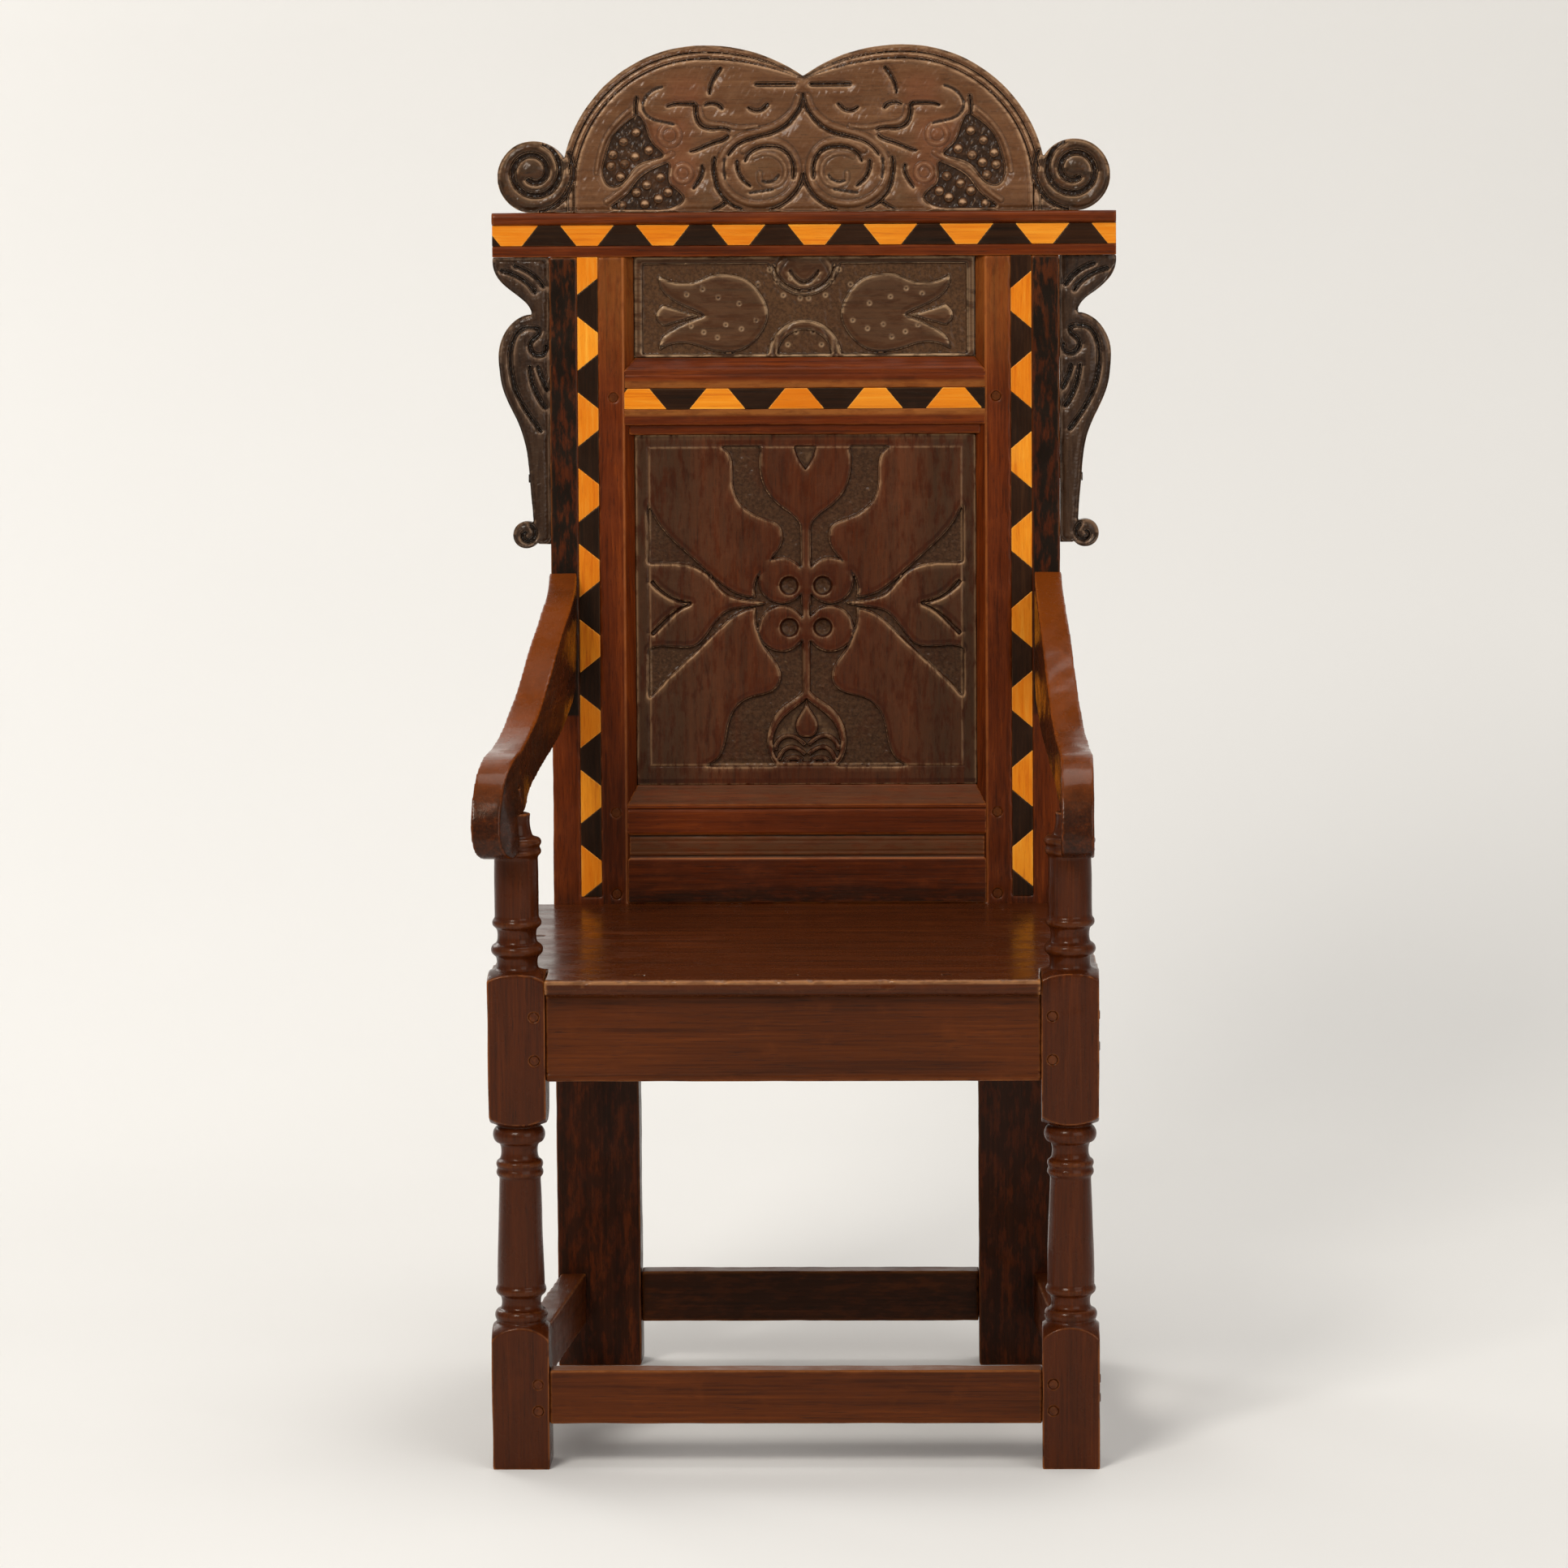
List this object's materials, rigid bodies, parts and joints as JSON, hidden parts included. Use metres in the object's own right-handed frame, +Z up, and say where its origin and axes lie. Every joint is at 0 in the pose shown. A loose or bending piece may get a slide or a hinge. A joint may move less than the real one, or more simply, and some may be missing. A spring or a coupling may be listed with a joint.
{
  "type": "wainscot chair",
  "caption": "High-backed joined oak armchair with carved cresting and panels, inlaid rails, turned front legs and a board seat.",
  "frame": {"origin": "bottom centre of the bounding box, on the floor", "axes": "+X to the right of someone facing the chair, -Y the way the sitter faces, +Z up"},
  "size_m": [0.5934, 0.567, 1.2654],
  "materials": {
    "oak_frame": "old dark oak, waxed and rubbed",
    "oak_carved": "old dark oak, carved, greyed in the hollows",
    "oak_panel": "old reddish oak, carved in low relief",
    "oak_arm": "oak worn pale by hands",
    "oak_seat": "old oak, polished by use",
    "oak_peg": "riven oak",
    "inlay_pale": "pale holly or sycamore, aged to amber",
    "inlay_dark": "bog oak",
    "iron": "old wrought iron"
  },
  "bodies": {
    "root": {"front_leg_left": "oak_frame", "front_leg_right": "oak_frame", "back_stile_left": "oak_frame", "back_stile_right": "oak_frame", "top_rail": "oak_frame", "mid_rail": "oak_frame", "bottom_rail": "oak_frame", "seat_rail_front": "oak_frame", "seat_rail_back": "oak_frame", "seat_rail_left": "oak_frame", "seat_rail_right": "oak_frame", "stretcher_front": "oak_frame", "stretcher_back": "oak_frame", "stretcher_left": "oak_frame", "stretcher_right": "oak_frame", "upper_panel": "oak_carved", "lower_panel": "oak_panel", "cresting": "oak_carved", "ear_bracket_left": "oak_carved", "ear_bracket_right": "oak_carved", "arm_left": "oak_arm", "arm_right": "oak_arm", "seat_board": "oak_seat", "cresting_dowels": "oak_peg", "pegs_front": "oak_peg", "pegs_side": "oak_peg", "pegs_back": "oak_peg", "pegs_arm": "oak_peg", "pegs_seat": "oak_peg", "ear_nails": "iron", "inlay_top_pale": "inlay_pale", "inlay_top_dark": "inlay_dark", "inlay_mid_pale": "inlay_pale", "inlay_mid_dark": "inlay_dark", "inlay_left_pale": "inlay_pale", "inlay_left_dark": "inlay_dark", "inlay_right_pale": "inlay_pale", "inlay_right_dark": "inlay_dark"}
  },
  "joints": []
}
